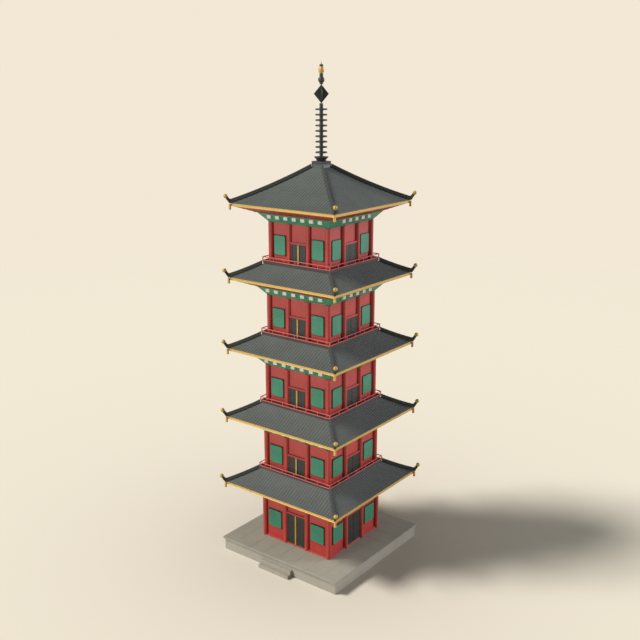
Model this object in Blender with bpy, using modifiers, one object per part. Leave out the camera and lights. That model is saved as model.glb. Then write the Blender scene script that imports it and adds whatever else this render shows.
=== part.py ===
"""Five-storey timber pagoda on a stone platform, 36 m tall, in metres, +Z up, front towards -Y."""

from math import pi, radians, sqrt

import bmesh
import bpy
from mathutils import Matrix, Vector

# Gap kept between pieces that rest on one another
GAP = 0.0003

# Stone platform and front steps
CAP_HALF = 5.35
CAP_TOP = 1.024
CAP_THICKNESS = 0.15
PLATFORM_HALF = 5.23
STEP_HALF_WIDTH = 1.40
LOWER_STEP_DEPTH = 0.55
LOWER_STEP_HEIGHT = 0.27
UPPER_STEP_DEPTH = 0.28
UPPER_STEP_HEIGHT = 0.53

# Storeys: each repeats the one below, a little smaller
STOREYS = 5
STOREY_PITCH = 5.23
BODY_HALF = 3.02
BODY_STEP = 0.129
WALL_THICKNESS = 0.16
POST_RADIUS = 0.195
POST_SEGMENTS = 8
POST_STANDS_OUT = 0.005

# Bracket zone under the eaves
BRACKET_BOTTOM = 4.253
BRACKET_FOOT = 0.107
BRACKET_REACH = 0.68
BLOCK_FRONT = 0.572
BLOCK_DEPTH = 0.20
BLOCK_WIDTH = 0.34
BLOCK_HEIGHT = 0.235
BLOCK_CENTRE = 4.667
BLOCK_PITCH = 0.296
BLOCKS_FRONT = 7
BLOCKS_SIDE = 5

# Roofs
EAVE_TOP = 5.571
EAVE_HALF = 5.075
EAVE_STEP = 0.1525
EAVE_EDGE = 0.02
FASCIA_HEIGHT = 0.19
FASCIA_THICKNESS = 0.06
SOFFIT_REACH = 0.70
SOFFIT_DROP = 0.655
SHELL_THICKNESS = 0.20
LOWER_ROOF_CURVE = (0.44, 0.056)
TOP_ROOF_CURVE = (0.455, 0.034)
CURVE_STEPS = 5
ROOF_INSIDE_WALL = 0.25
UNDER_BALCONY = 0.10

# Hip ridges, their upturned ends and the hanging bells
RIDGE_HEIGHT = 0.29
RIDGE_WIDTH = 0.17
RIDGE_SINK = 0.10
RIDGE_TURN = 0.40
TIP_TOP_LINE = ((-0.05, 0.30), (-0.17, 0.54))
TIP_BOTTOM_LINE = ((-0.27, 0.42), (-0.08, 0.03), (0.02, 0.01))
FINIAL_OUT = 0.25
FINIAL_RISE = 0.51
FINIAL_RADIUS = 0.15
BELL_OUT = 0.05
BELL_RADIUS = 0.10
BELL_TOP_RADIUS = 0.085
BELL_TOP = 0.03
BELL_BOTTOM = 0.45
BELL_SEGMENTS = 8
BALL_SEGMENTS = 8

# Balconies of the upper storeys
FLOOR_RISE = 1.14
BALCONY_HALF = 3.32
BALCONY_STEP = 0.1165
FLOOR_INSET = 0.02
RAIL_SIZE = 0.065
RAIL_POST_SIZE = 0.055
TOP_RAIL_RISE = 1.456
LOWER_RAIL_RISE = 1.21
RAIL_BAYS = 6

# Windows: a dark frame fills the opening and a green panel stands out of it
WINDOW_WIDTH = 0.385
WINDOW_BOTTOM = 1.996
WINDOW_TOP = 3.333
WINDOW_FRAME = 0.06
FRAME_FRONT = 0.034
PANEL_FRONT = 0.09
LINING_INSET = 0.21
LINING = 0.05

# Doors
DOOR_TOP = 3.515
UPPER_DOOR_TOP = 2.88
SILL_HEIGHT = 0.10
SILL_REACH = 0.10
HEAD_BEAM_HEIGHT = 0.20
DOOR_BACK = 0.02
DOOR_THICKNESS = 0.07
DOOR_CLEARANCE = 0.006
DOOR_MIDDLE_GAP = 0.004
DOOR_LAP = 0.08
HINGE_INSET = 0.043
DOOR_END_GAP = 0.018
STRIP_WIDTH = 0.064
STRIP_DEPTH = 0.04
PIN_RADIUS = 0.02
LINTEL_HEIGHT = 0.12
LINTEL_REACH = 0.11
PROUD = 0.02

# Spire
APEX_HALF = 0.49
APEX_HOLE = 0.25
SPIRE_BOX_TOP = 29.303
BOWL_TOP = 29.604
BOWL_BOTTOM_RADIUS = 0.30
BOWL_TOP_RADIUS = 0.51
MAST_RADIUS = 0.127
RING_COUNT = 9
FIRST_RING = 29.896
LAST_RING = 32.791
RING_RADIUS = 0.417
RING_THICKNESS = 0.11
FLAME_BOTTOM = 33.175
FLAME_TOP = 34.444
FLAME_HALF = 0.52
FLAME_THICKNESS = 0.06
BALL_CENTRE = 34.731
BALL_RADIUS = 0.223
JEWEL_BOTTOM = 35.147
JEWEL_TOP = 35.606
JEWEL_RADIUS = 0.195
JEWEL_CAP_TOP = 35.737
JEWEL_CAP_RADIUS = 0.128
TIP_TOP = 35.963
TIP_RADIUS = 0.06
TURN_SEGMENTS = 12
ARC_STEPS = 5

SIDES = {"front": 0, "right": 1, "back": 2, "left": 3}
PARTS_NAME = "pagoda"
CUTTERS_NAME = "pagoda_cutters"
UPRIGHT = Matrix.Identity(4)


# Scene, materials and basic solids

def clear_scene():
    for obj in list(bpy.data.objects):
        bpy.data.objects.remove(obj, do_unlink=True)


def make_collections():
    for name in (PARTS_NAME, CUTTERS_NAME):
        collection = bpy.data.collections.new(name)
        bpy.context.scene.collection.children.link(collection)


def material(name, colour, roughness, metallic=0.0):
    made = bpy.data.materials.new(name)
    made.use_nodes = True
    shader = made.node_tree.nodes["Principled BSDF"]
    shader.inputs["Base Color"].default_value = (*colour, 1.0)
    shader.inputs["Roughness"].default_value = roughness
    shader.inputs["Metallic"].default_value = metallic
    return made


def register(obj, finish):
    """Link an object as a part, or as a cutter when it has no finish."""
    bpy.data.collections[PARTS_NAME if finish else CUTTERS_NAME].objects.link(obj)
    if finish:
        obj.data.materials.append(finish)
    else:
        obj.hide_render = True
        obj.display_type = "WIRE"


def object_from(name, bm, finish=None):
    mesh = bpy.data.meshes.new(name)
    bm.to_mesh(mesh)
    bm.free()
    obj = bpy.data.objects.new(name, mesh)
    register(obj, finish)
    return obj


def add_box(bm, low, high, turn=UPRIGHT):
    low, high = Vector(low), Vector(high)
    size = Matrix.Diagonal((*(high - low), 1.0))
    bmesh.ops.create_cube(bm, size=1.0, matrix=turn @ Matrix.Translation((low + high) / 2) @ size)


def add_cone(bm, x, y, span, radii, segments):
    """Upright cone or cylinder with a flat side square to X: span and radii run from bottom to top."""
    place = Matrix.Translation((x, y, sum(span) / 2)) @ Matrix.Rotation(pi / segments, 4, "Z")
    bmesh.ops.create_cone(bm, cap_ends=True, segments=segments, radius1=radii[0], radius2=radii[1],
                          depth=span[1] - span[0], matrix=place)


def boxes_object(name, boxes, finish=None, turn=UPRIGHT):
    bm = bmesh.new()
    for low, high in boxes:
        add_box(bm, low, high, turn)
    return object_from(name, bm, finish)


def combine(obj, operation, *operands):
    for operand in operands:
        step = obj.modifiers.new(operation.lower(), "BOOLEAN")
        step.operation = operation
        step.solver = "EXACT"
        step.object = operand


def turned(name, profile, steps, finish, closed=True):
    """Turn a profile of (radius, height) points about Z, its outer side running down."""
    mesh = bpy.data.meshes.new(name)
    edges = [(i, i + 1) for i in range(len(profile) - 1)]
    if closed:
        edges.append((len(profile) - 1, 0))
    mesh.from_pydata([(radius, 0.0, height) for radius, height in profile], edges, [])
    obj = bpy.data.objects.new(name, mesh)
    register(obj, finish)
    screw = obj.modifiers.new("turn", "SCREW")
    screw.angle = 2 * pi
    screw.steps = steps
    screw.render_steps = steps
    screw.use_merge_vertices = True
    screw.merge_threshold = 0.0001
    return obj


def square_ring(name, profile, finish=None):
    """A four-sided ring from a profile of (half width, height) points."""
    ring = turned(name, [(half * sqrt(2.0), height) for half, height in profile], 4, finish)
    ring.modifiers["turn"].use_smooth_shade = False
    ring.rotation_euler.z = radians(45)
    return ring


def plain_ring(name, outer, inner, bottom, top, finish=None):
    return square_ring(name, [(outer, top), (outer, bottom), (inner, bottom), (inner, top)], finish)


def outline_solid(name, points, thickness, place, finish=None):
    """A flat outline given thickness, in the plane that place sets."""
    curve = bpy.data.curves.new(name, "CURVE")
    curve.dimensions = "2D"
    curve.fill_mode = "BOTH"
    curve.extrude = thickness / 2
    spline = curve.splines.new("POLY")
    spline.points.add(len(points) - 1)
    for point, (x, y) in zip(spline.points, points):
        point.co = (x, y, 0.0, 1.0)
    spline.use_cyclic_u = True
    source = bpy.data.objects.new(name, curve)
    bpy.context.scene.collection.objects.link(source)
    source.matrix_world = place
    bpy.context.view_layer.update()
    mesh = bpy.data.meshes.new_from_object(source.evaluated_get(bpy.context.evaluated_depsgraph_get()))
    bm = bmesh.new()
    bm.from_mesh(mesh)
    bmesh.ops.remove_doubles(bm, verts=bm.verts, dist=0.0001)
    bmesh.ops.recalc_face_normals(bm, faces=bm.faces)
    solid = object_from(name, bm, finish)
    solid.matrix_world = source.matrix_world
    bpy.data.objects.remove(source, do_unlink=True)
    bpy.data.meshes.remove(mesh)
    return solid


def vertical_plane(angle):
    """A plane that stands on the axis of the tower: its X points out at an angle, its Y points up."""
    return Matrix.Rotation(angle, 4, "Z") @ Matrix.Rotation(radians(90), 4, "X")


def quarter_turn(side):
    return Matrix.Rotation(radians(90) * SIDES[side], 4, "Z")


# Sizes that change from storey to storey

def lift(storey):
    return STOREY_PITCH * (storey - 1)


def body_half(storey):
    return BODY_HALF - BODY_STEP * (storey - 1)


def eave_half(storey):
    return EAVE_HALF - EAVE_STEP * (storey - 1)


def eave_top(storey):
    return EAVE_TOP + lift(storey)


def balcony_half(storey):
    return BALCONY_HALF - BALCONY_STEP * (storey - 2)


def floor_top(storey):
    return CAP_TOP if storey == 1 else eave_top(storey - 1) + FLOOR_RISE


def bracket_bottom(storey):
    return BRACKET_BOTTOM + lift(storey)


def wall_span(storey):
    return floor_top(storey) + GAP, bracket_bottom(storey) - GAP


def bay_edge(storey):
    """Half the clear width between the two middle posts."""
    return body_half(storey) / 3 - POST_RADIUS


def post_places(storey):
    wall = body_half(storey)
    lines = (-wall, -wall / 3, wall / 3, wall)
    return [(x, y) for x in lines for y in lines if wall in (abs(x), abs(y))]


# Platform

def make_platform(stone):
    bottom = CAP_TOP - CAP_THICKNESS
    boxes_object("platform_base", [((-PLATFORM_HALF, -PLATFORM_HALF, 0.0),
                                    (PLATFORM_HALF, PLATFORM_HALF, bottom - GAP))], stone)
    boxes_object("platform_cap", [((-CAP_HALF, -CAP_HALF, bottom), (CAP_HALF, CAP_HALF, CAP_TOP))], stone)


def make_steps(stone):
    face = -PLATFORM_HALF - GAP
    middle = -PLATFORM_HALF - UPPER_STEP_DEPTH
    boxes_object("upper_step", [((-STEP_HALF_WIDTH, middle, 0.0), (STEP_HALF_WIDTH, face, UPPER_STEP_HEIGHT))],
                 stone)
    boxes_object("lower_step", [((-STEP_HALF_WIDTH, -PLATFORM_HALF - LOWER_STEP_DEPTH, 0.0),
                                 (STEP_HALF_WIDTH, middle - GAP, LOWER_STEP_HEIGHT))], stone)


# Openings and what closes them

def window_box(storey, centre, border, front, back):
    """A box around a front window: border widens it, front and back are depths out of and into the wall."""
    half = WINDOW_WIDTH * body_half(storey) / 2 + border
    wall = -body_half(storey)
    return ((centre - half, wall - front, WINDOW_BOTTOM - border + lift(storey)),
            (centre + half, wall + back, WINDOW_TOP + border + lift(storey)))


def window_centres(storey):
    return -body_half(storey) * 2 / 3, body_half(storey) * 2 / 3


def door_bottom(storey):
    return floor_top(storey) + (SILL_HEIGHT if storey == 1 else 0.0)


def door_top(storey):
    return (DOOR_TOP if storey == 1 else UPPER_DOOR_TOP) + lift(storey)


def door_opening(storey, shrink, front, back):
    """A box that fills the doorway in the front wall."""
    half = bay_edge(storey) - DOOR_LAP - shrink
    wall = -body_half(storey)
    return ((-half, wall - front, door_bottom(storey) + shrink),
            (half, wall + back, door_top(storey) - DOOR_LAP - shrink))


def opening_cutter(name, storey, windows, doors):
    """Cuts the windows and doorways of the given sides right through."""
    bm = bmesh.new()
    through = POST_RADIUS + LINING
    for side in windows:
        for centre in window_centres(storey):
            add_box(bm, *window_box(storey, centre, WINDOW_FRAME, through, through), quarter_turn(side))
    for side in doors:
        low, high = door_opening(storey, 0.0, through, through)
        add_box(bm, low, high, quarter_turn(side))
    return object_from(name, bm)


def closings(storey, doors, strips):
    """Solids that close openings: frames and door plugs, then panels and leaves, then door strips."""
    plugs, fronts, strip_bars = bmesh.new(), bmesh.new(), bmesh.new()
    behind = LINING_INSET + LINING / 2
    wall = -body_half(storey)
    leaf_front = wall - DOOR_BACK - DOOR_THICKNESS
    for side in SIDES:
        turn = quarter_turn(side)
        for centre in window_centres(storey):
            add_box(plugs, *window_box(storey, centre, WINDOW_FRAME - GAP, FRAME_FRONT, behind), turn)
            add_box(fronts, *window_box(storey, centre, 0.0, PANEL_FRONT, 0.0), turn)
    for side in doors:
        turn = quarter_turn(side)
        add_box(plugs, *door_opening(storey, GAP * 2, DOOR_BACK + PROUD, behind), turn)
        half = bay_edge(storey) - DOOR_END_GAP
        bottom, top = door_bottom(storey) + DOOR_CLEARANCE, door_top(storey) - DOOR_CLEARANCE
        add_box(fronts, (-half, leaf_front, bottom), (half, wall - DOOR_BACK, top), turn)
        if side in strips:
            add_box(strip_bars, (-STRIP_WIDTH, leaf_front - STRIP_DEPTH, bottom + PROUD),
                    (STRIP_WIDTH, leaf_front + PROUD, top - PROUD), turn)
    names = (("plugs", plugs), ("fronts", fronts), ("strips", strip_bars))
    return [object_from(f"{kind}_{storey}", bm) for kind, bm in names if bm.verts]


def make_closings(name, storey, doors, strips, finish, passages=()):
    """A thin lining behind the walls that carries the windows and the fixed doors of a storey."""
    outer = body_half(storey) - LINING_INSET
    lining = plain_ring(name, outer, outer - LINING, *wall_span(storey), finish)
    combine(lining, "UNION", *closings(storey, doors, strips))
    if passages:
        bm = bmesh.new()
        half = bay_edge(storey) - DOOR_LAP
        for side in passages:
            add_box(bm, (-half, -body_half(storey), floor_top(storey) - PROUD),
                    (half, LINING - outer + PROUD, door_top(storey) - DOOR_LAP), quarter_turn(side))
        combine(lining, "DIFFERENCE", object_from(f"passages_{storey}", bm))


# Ground floor

def posts_solid(name, storey, places):
    bm = bmesh.new()
    for x, y in places:
        add_cone(bm, x, y, wall_span(storey), (POST_RADIUS, POST_RADIUS), POST_SEGMENTS)
    return object_from(name, bm)


def framed_posts(storey):
    """The posts of the front and right sides, and the corner post at the back left."""
    wall = body_half(storey)
    return [(x, y) for x, y in post_places(storey) if y == -wall or x == wall or (x == -wall and y == wall)]


def make_ground_frame(red):
    """Sill, head beam, corner posts, and the middle posts and jambs of the two sides that open."""
    wall = body_half(1)
    bottom, top = wall_span(1)
    outer, inner = wall + SILL_REACH, wall - WALL_THICKNESS
    frame = plain_ring("ground_frame", outer, inner, bottom + POST_STANDS_OUT, CAP_TOP + SILL_HEIGHT, red)
    head = plain_ring("head_beam", wall + PROUD, inner, top - HEAD_BEAM_HEIGHT, top - POST_STANDS_OUT)
    jambs = bmesh.new()
    edge = bay_edge(1)
    for side in ("front", "right"):
        for low, high in ((-edge - PROUD, DOOR_LAP - edge), (edge - DOOR_LAP, edge + PROUD)):
            add_box(jambs, (low, -wall, bottom + SILL_HEIGHT / 2), (high, -wall + WALL_THICKNESS - PROUD,
                    top - HEAD_BEAM_HEIGHT / 2), quarter_turn(side))
    combine(frame, "UNION", posts_solid("frame_posts", 1, framed_posts(1)), head, object_from("jambs", jambs))


def ground_wall_span():
    return CAP_TOP + SILL_HEIGHT + GAP, wall_span(1)[1] - HEAD_BEAM_HEIGHT - GAP


def make_bay_wall(name, side, direction, red):
    """A wall between a corner post and a middle post, with its window cut through."""
    wall = body_half(1)
    bottom, top = ground_wall_span()
    ends = sorted(direction * end for end in (wall / 3 + POST_RADIUS + GAP, wall - POST_RADIUS - GAP))
    slab = boxes_object(name, [((ends[0], -wall, bottom), (ends[1], WALL_THICKNESS - wall, top))], red,
                        quarter_turn(side))
    window = window_box(1, direction * wall * 2 / 3, WINDOW_FRAME, POST_RADIUS, LINING_INSET)
    combine(slab, "DIFFERENCE", boxes_object(f"{name}_window", [window], None, quarter_turn(side)))


def make_wall_over_door(name, side, red):
    """The wall over a doorway, with the lintel that takes the upper pins of the doors."""
    wall = body_half(1)
    half = bay_edge(1) - DOOR_LAP - GAP
    top = ground_wall_span()[1]
    front = -wall - PROUD / 2
    slab = boxes_object(name, [((-half, front, DOOR_TOP - DOOR_LAP), (half, WALL_THICKNESS - wall, top))], red,
                        quarter_turn(side))
    reach = bay_edge(1) - GAP
    lintel = ((-reach, -wall - LINTEL_REACH, DOOR_TOP), (reach, -wall - GAP, DOOR_TOP + LINTEL_HEIGHT))
    combine(slab, "UNION", boxes_object(f"{name}_lintel", [lintel], None, quarter_turn(side)))


def make_closed_wall(name, side, red):
    """A whole wall with its two middle posts, two windows and a doorway."""
    wall = body_half(1)
    bottom, top = ground_wall_span()
    end = wall - POST_RADIUS - GAP
    turn = quarter_turn(side)
    slab = boxes_object(name, [((-end, -wall, bottom), (end, WALL_THICKNESS - wall, top))], red, turn)
    posts = bmesh.new()
    for x in (-wall / 3, wall / 3):
        place = turn @ Vector((x, -wall, 0.0))
        add_cone(posts, place.x, place.y, (bottom, top), (POST_RADIUS, POST_RADIUS), POST_SEGMENTS)
    combine(slab, "UNION", object_from(f"{name}_posts", posts))
    combine(slab, "DIFFERENCE", opening_cutter(f"{name}_openings", 1, (side,), (side,)))


def make_door_leaf(name, side, direction, strip, dark):
    """A leaf that turns on pins at its outer edge; direction is -1 for the left leaf, 1 for the right one."""
    hinge = bay_edge(1) - HINGE_INSET
    turn = quarter_turn(side)
    axis = turn @ Vector((direction * hinge, -body_half(1) - DOOR_BACK - DOOR_THICKNESS / 2, CAP_TOP + SILL_HEIGHT))
    tall = DOOR_TOP - CAP_TOP - SILL_HEIGHT
    half = DOOR_THICKNESS / 2
    inner, outer = direction * (DOOR_MIDDLE_GAP - hinge), direction * (HINGE_INSET - DOOR_END_GAP)

    def across(first, second, front, back, low, high):
        return (min(first, second), front, low), (max(first, second), back, high)

    panel = across(inner, outer, -half, half, DOOR_CLEARANCE, tall - DOOR_CLEARANCE)
    leaf = boxes_object(name, [panel], dark)
    pins = bmesh.new()
    for span in ((GAP, PROUD), (tall - PROUD, tall - GAP)):
        add_cone(pins, 0.0, 0.0, span, (PIN_RADIUS, PIN_RADIUS), POST_SEGMENTS)
    additions = [object_from(f"{name}_pins", pins)]
    if strip:
        edge = inner + direction * STRIP_WIDTH
        bar = across(inner, edge, -half - STRIP_DEPTH, PROUD - half, PROUD, tall - PROUD)
        additions.append(boxes_object(f"{name}_strip", [bar]))
    for piece in (leaf, *additions):
        piece.location = axis
        piece.rotation_euler.z = radians(90) * SIDES[side]
    combine(leaf, "UNION", *additions)


def make_ground_floor(red, green, dark):
    make_ground_frame(red)
    for side, names in (("front", ("left", "right")), ("right", ("front", "back"))):
        for direction, name in zip((-1, 1), names):
            make_bay_wall(f"{side}_wall_{name}", side, direction, red)
            make_door_leaf(f"{side}_door_{name}", side, direction, side == "front", dark)
        make_wall_over_door(f"{side}_wall_over_door", side, red)
    make_closed_wall("back_wall", "back", red)
    make_closed_wall("left_wall", "left", red)
    make_closings("ground_windows", 1, ("back", "left"), ("back",), green, passages=("front", "right"))


# Upper storeys

def make_upper_walls(storey, red):
    """Four walls with their posts, cut through at windows and doorways."""
    wall = body_half(storey)
    bottom, top = wall_span(storey)
    walls = plain_ring(f"storey_{storey}_walls", wall, wall - WALL_THICKNESS, bottom + POST_STANDS_OUT,
                       top - POST_STANDS_OUT, red)
    combine(walls, "UNION", posts_solid(f"posts_{storey}", storey, post_places(storey)))
    sides = tuple(SIDES)
    combine(walls, "DIFFERENCE", opening_cutter(f"openings_{storey}", storey, sides, sides))


def rail_posts(storey):
    """Centres of the railing posts around a balcony."""
    half = balcony_half(storey) - RAIL_SIZE / 2
    steps = [half * (2 * i / RAIL_BAYS - 1) for i in range(RAIL_BAYS + 1)]
    return [(x, y) for x in steps for y in steps if half in (abs(x), abs(y))]


def make_balcony(storey, brown):
    """Floor plate over the roof below, with a railing of two rails."""
    half = balcony_half(storey)
    base = eave_top(storey - 1)
    edge = half - FLOOR_INSET
    floor_bottom = roof_rim(storey - 1)[1] + GAP
    plate = boxes_object(f"storey_{storey}_balcony",
                         [((-edge, -edge, floor_bottom), (edge, edge, floor_top(storey)))], brown)
    posts = bmesh.new()
    for x, y in rail_posts(storey):
        reach = RAIL_POST_SIZE / 2
        add_box(posts, (x - reach, y - reach, floor_top(storey) - PROUD),
                (x + reach, y + reach, base + TOP_RAIL_RISE - RAIL_SIZE / 2))
    rails = [plain_ring(f"{kind}_rail_{storey}", half, half - RAIL_SIZE, base + top - RAIL_SIZE, base + top)
             for kind, top in (("top", TOP_RAIL_RISE), ("lower", LOWER_RAIL_RISE))]
    combine(plate, "UNION", object_from(f"rail_posts_{storey}", posts), *rails)


# Brackets and roofs

def make_brackets(storey, green):
    """Flared bracket zone with its row of blocks."""
    wall = body_half(storey)
    bottom, top = bracket_bottom(storey), eave_top(storey) - SOFFIT_DROP - GAP
    inner = wall - WALL_THICKNESS
    profile = [(wall + BRACKET_REACH, top), (wall + BRACKET_FOOT, bottom), (inner, bottom), (inner, top)]
    flare = square_ring(f"brackets_{storey}", profile, green)
    blocks = bmesh.new()
    centre = BLOCK_CENTRE + lift(storey)
    front = -wall - BLOCK_FRONT
    for side in SIDES:
        count = BLOCKS_FRONT if side in ("front", "back") else BLOCKS_SIDE
        for i in range(count):
            x = (i - (count - 1) / 2) * BLOCK_PITCH * wall
            add_box(blocks, (x - BLOCK_WIDTH / 2, front, centre - BLOCK_HEIGHT / 2),
                    (x + BLOCK_WIDTH / 2, front + BLOCK_DEPTH, centre + BLOCK_HEIGHT / 2), quarter_turn(side))
    combine(flare, "UNION", object_from(f"blocks_{storey}", blocks))


def roof_height(storey, inset):
    """Height of the tiles over the eave line, at a distance in from the eave."""
    slope, bend = TOP_ROOF_CURVE if storey == STOREYS else LOWER_ROOF_CURVE
    return EAVE_EDGE + slope * inset + bend * inset * inset


def roof_rim(storey):
    """Half width and height of the flat top of a roof, under the next balcony or the spire."""
    half = APEX_HALF if storey == STOREYS else balcony_half(storey + 1) - UNDER_BALCONY
    return half, eave_top(storey) + roof_height(storey, eave_half(storey) - half)


def roof_line(storey, start, end, drop=0.0):
    """Points of the tile line from one half width in to another, lowered by drop."""
    halves = [start + (end - start) * i / CURVE_STEPS for i in range(CURVE_STEPS + 1)]
    return [(half, eave_top(storey) + roof_height(storey, eave_half(storey) - half) - drop) for half in halves]


def underside_line(storey):
    """Points of the underside of the tile shell, from behind the fascia in to the wall's inner face or the rim."""
    start = eave_half(storey) - FASCIA_THICKNESS - GAP
    return roof_line(storey, start, max(roof_rim(storey)[0], body_half(storey) - WALL_THICKNESS), SHELL_THICKNESS)


def make_eaves(storey, red):
    """Red soffit that slopes from the fascia down to the top of the brackets, filled up to the tile shell."""
    line = [(half, height - GAP) for half, height in underside_line(storey)]
    top = eave_top(storey)
    wall = body_half(storey)
    inner = wall - WALL_THICKNESS
    if line[-1][0] > inner:
        line.append((inner, line[-1][1]))
    profile = line[::-1] + [(line[0][0], top - FASCIA_HEIGHT), (wall + SOFFIT_REACH, top - SOFFIT_DROP),
                            (inner, top - SOFFIT_DROP)]
    square_ring(f"eaves_{storey}", profile, red)


def ridge_outline(storey):
    """Outline of a hip ridge in its diagonal plane, from its upturned tip to its top end."""
    edge = eave_half(storey)
    end = APEX_HALF + GAP if storey == STOREYS else balcony_half(storey + 1) + FLOOR_INSET
    upper = roof_line(storey, edge, end, -RIDGE_HEIGHT)
    lower = roof_line(storey, edge - RIDGE_TURN, end, RIDGE_SINK)
    tip_top = [(edge - inset, eave_top(storey) + rise) for inset, rise in TIP_TOP_LINE]
    tip_bottom = [(edge - inset, eave_top(storey) + rise) for inset, rise in TIP_BOTTOM_LINE]
    points = upper[::-1] + tip_top + tip_bottom + lower
    return [(half * sqrt(2.0), height) for half, height in points]


def make_roof(storey, tile):
    """Concave tile shell with four hip ridges, each ending in a ball."""
    edge = eave_half(storey)
    rim, rim_top = roof_rim(storey)
    hole = APEX_HOLE if storey == STOREYS else body_half(storey + 1) - ROOF_INSIDE_WALL
    top = eave_top(storey)
    upper = roof_line(storey, rim, edge)
    lower = underside_line(storey)
    if lower[-1][0] > rim:
        lower += roof_line(storey, lower[-1][0], rim, SHELL_THICKNESS)[1:]
    profile = [(hole, rim_top)] + upper + [(edge, top + GAP), (lower[0][0], top + GAP)] + lower
    profile.append((hole, rim_top - SHELL_THICKNESS))
    roof = square_ring(f"roof_{storey}", profile, tile)
    finials = bmesh.new()
    reach = edge + FINIAL_OUT
    for corner in range(4):
        angle = radians(45 + 90 * corner)
        ridge = outline_solid(f"ridge_{storey}_{corner}", ridge_outline(storey), RIDGE_WIDTH, vertical_plane(angle))
        combine(roof, "UNION", ridge)
        place = Matrix.Rotation(angle, 4, "Z") @ Matrix.Translation((reach * sqrt(2.0), 0.0, top + FINIAL_RISE))
        bmesh.ops.create_uvsphere(finials, u_segments=BALL_SEGMENTS, v_segments=BALL_SEGMENTS // 2,
                                  radius=FINIAL_RADIUS, matrix=place)
    combine(roof, "UNION", object_from(f"finials_{storey}", finials))


def make_fascia(storey, gold):
    """Gilt board around the eave with a bell under each corner."""
    edge = eave_half(storey)
    top = eave_top(storey)
    board = plain_ring(f"eave_trim_{storey}", edge, edge - FASCIA_THICKNESS, top - FASCIA_HEIGHT, top, gold)
    bells = bmesh.new()
    reach = edge + BELL_OUT
    for x in (-reach, reach):
        for y in (-reach, reach):
            add_cone(bells, x, y, (top - BELL_BOTTOM, top - BELL_TOP), (BELL_RADIUS, BELL_TOP_RADIUS),
                     BELL_SEGMENTS)
    combine(board, "UNION", object_from(f"bells_{storey}", bells))


# Spire

def arc(centre, radius, low, high):
    """Points of a ball's side from the height low over its centre down to the height high under it."""
    heights = [centre + low + (high - low) * i / ARC_STEPS for i in range(ARC_STEPS + 1)]
    return [(sqrt(max(radius ** 2 - (height - centre) ** 2, 0.0)), height) for height in heights]


def make_spire(dark, gold):
    box_bottom = roof_rim(STOREYS)[1] + GAP
    boxes_object("spire_base", [((-APEX_HALF, -APEX_HALF, box_bottom), (APEX_HALF, APEX_HALF, SPIRE_BOX_TOP))],
                 dark)
    bowl = [(0.0, BOWL_TOP), (BOWL_TOP_RADIUS, BOWL_TOP), (BOWL_BOTTOM_RADIUS, SPIRE_BOX_TOP + GAP),
            (0.0, SPIRE_BOX_TOP + GAP)]
    turned("spire_bowl", bowl, TURN_SEGMENTS, dark, closed=False)
    make_spire_mast(dark)
    make_spire_flame(dark)
    make_spire_ball(dark)
    make_spire_jewel(gold)


def make_spire_mast(dark):
    """Mast with its nine rings."""
    pitch = (LAST_RING - FIRST_RING) / (RING_COUNT - 1)
    profile = [(0.0, FLAME_BOTTOM - GAP), (MAST_RADIUS, FLAME_BOTTOM - GAP)]
    for i in reversed(range(RING_COUNT)):
        middle = FIRST_RING + pitch * i
        for side in (1, -1):
            half = side * RING_THICKNESS / 2
            rim = [(MAST_RADIUS, middle + half), (RING_RADIUS, middle + half)]
            profile += rim if side > 0 else rim[::-1]
    profile += [(MAST_RADIUS, BOWL_TOP + GAP), (0.0, BOWL_TOP + GAP)]
    turned("spire_rings", profile, TURN_SEGMENTS, dark, closed=False)


def make_spire_flame(dark):
    """Two diamond plates that cross at the mast."""
    middle = (FLAME_BOTTOM + FLAME_TOP) / 2
    rod = bmesh.new()
    add_cone(rod, 0.0, 0.0, (FLAME_BOTTOM, FLAME_TOP), (MAST_RADIUS, MAST_RADIUS), TURN_SEGMENTS)
    flame = object_from("spire_flame", rod, dark)
    diamond = [(FLAME_HALF, middle), (0.0, FLAME_TOP - PROUD), (-FLAME_HALF, middle),
               (0.0, FLAME_BOTTOM + PROUD)]
    for i in range(2):
        plate = outline_solid(f"flame_plate_{i}", diamond, FLAME_THICKNESS, vertical_plane(radians(45 + 90 * i)))
        combine(flame, "UNION", plate)


def make_spire_ball(dark):
    neck = sqrt(BALL_RADIUS ** 2 - MAST_RADIUS ** 2)
    profile = [(0.0, JEWEL_BOTTOM - GAP), (MAST_RADIUS, JEWEL_BOTTOM - GAP)]
    profile += arc(BALL_CENTRE, BALL_RADIUS, neck, -neck)
    profile += [(MAST_RADIUS, FLAME_TOP + GAP), (0.0, FLAME_TOP + GAP)]
    turned("spire_ball", profile, TURN_SEGMENTS, dark, closed=False)


def make_spire_jewel(gold):
    """Jewel with its cap and pointed tip."""
    middle = (JEWEL_BOTTOM + JEWEL_TOP) / 2
    profile = [(0.0, TIP_TOP), (TIP_RADIUS, JEWEL_CAP_TOP), (JEWEL_CAP_RADIUS, JEWEL_CAP_TOP),
               (JEWEL_CAP_RADIUS, JEWEL_TOP), (JEWEL_RADIUS, middle), (JEWEL_CAP_RADIUS, JEWEL_BOTTOM),
               (0.0, JEWEL_BOTTOM)]
    turned("spire_jewel", profile, TURN_SEGMENTS, gold, closed=False)


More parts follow.
